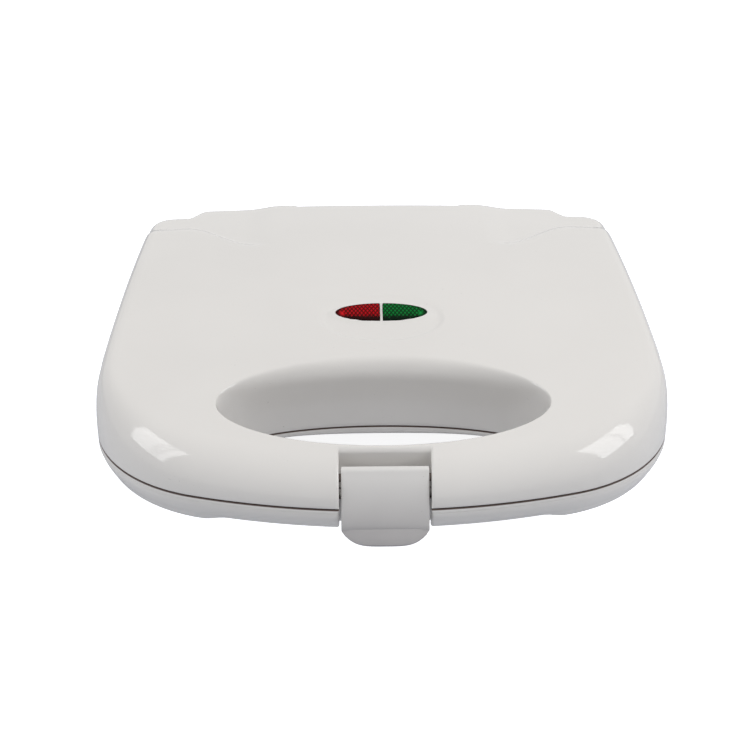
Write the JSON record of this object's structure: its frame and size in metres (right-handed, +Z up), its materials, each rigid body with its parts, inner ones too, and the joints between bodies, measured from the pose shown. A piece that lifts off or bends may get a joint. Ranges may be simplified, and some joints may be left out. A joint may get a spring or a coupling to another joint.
{
  "type": "sandwich toaster",
  "caption": "Clam-shell sandwich toaster with two black pocketed plates, loop handle with swinging latch, rear hinge and twin indicator windows.",
  "frame": {"origin": "centre of the bounding box's footprint, on the surface that the feet stand on", "axes": "+Z up, -Y towards the handle and the user, +X to the right as seen from the front"},
  "size_m": [0.23, 0.225, 0.08],
  "materials": {
    "shell": null,
    "frame": "satin moulded white",
    "latch": "satin moulded white, slightly greyer than the shell",
    "cooking_plate": "cast, black non-stick coating",
    "heater_tube": "sheathed heating tube, slightly heat-stained",
    "reflector_sheet": "thin plated sheet",
    "fastener": "zinc-plated steel",
    "ceramic": "unglazed off-white ceramic",
    "thermostat_can": "dark capped thermostat",
    "wire_sleeve": "off-white silicone wire sleeve",
    "rubber": "matte black rubber",
    "conduit": "dark grey flexible sleeve",
    "red_lens": "dark red prismatic window",
    "green_lens": "dark green prismatic window",
    "lamp_glass": "small indicator lamp"
  },
  "bodies": {
    "base": {"lower_housing": "shell", "lower_frame": "frame", "lower_plate": "cooking_plate", "lower_heater": "heater_tube", "lower_reflector": "reflector_sheet", "lower_reflector_screws": "fastener", "lower_screws": "fastener", "lower_terminals": "ceramic", "thermal_fuse": "ceramic", "fuse_clip": "reflector_sheet", "terminal_block": "ceramic", "lower_wiring": "wire_sleeve", "cord_bush": "rubber", "wire_conduit": "conduit", "hinge_pin_left": "fastener", "hinge_pin_right": "fastener", "front_left_foot": "rubber", "front_right_foot": "rubber", "rear_left_foot": "rubber", "rear_right_foot": "rubber"},
    "lid": {"upper_housing": "shell", "upper_frame": "frame", "upper_plate": "cooking_plate", "upper_heater": "heater_tube", "upper_reflector": "reflector_sheet", "upper_reflector_screws": "fastener", "upper_screws": "fastener", "upper_terminals": "ceramic", "red_window": "red_lens", "green_window": "green_lens", "red_lamp": "lamp_glass", "green_lamp": "lamp_glass", "lamp_holder": "ceramic", "lamp_holder_screws": "fastener", "thermostat": "thermostat_can", "thermostat_strap": "reflector_sheet", "upper_wiring": "wire_sleeve", "latch_pin": "fastener"},
    "latch": {"latch": "latch"}
  },
  "joints": [
    {"name": "lid_hinge", "type": "hinge", "parent": "base", "child": "lid", "pos_m": [0, 0.1075, 0.042], "axis": [-1, 0, 0], "range_deg": [0, 100]},
    {"name": "latch_pivot", "type": "hinge", "parent": "lid", "child": "latch", "pos_m": [0, -0.0975, 0.0505], "axis": [-1, 0, 0], "range_deg": [0, 35]}
  ]
}
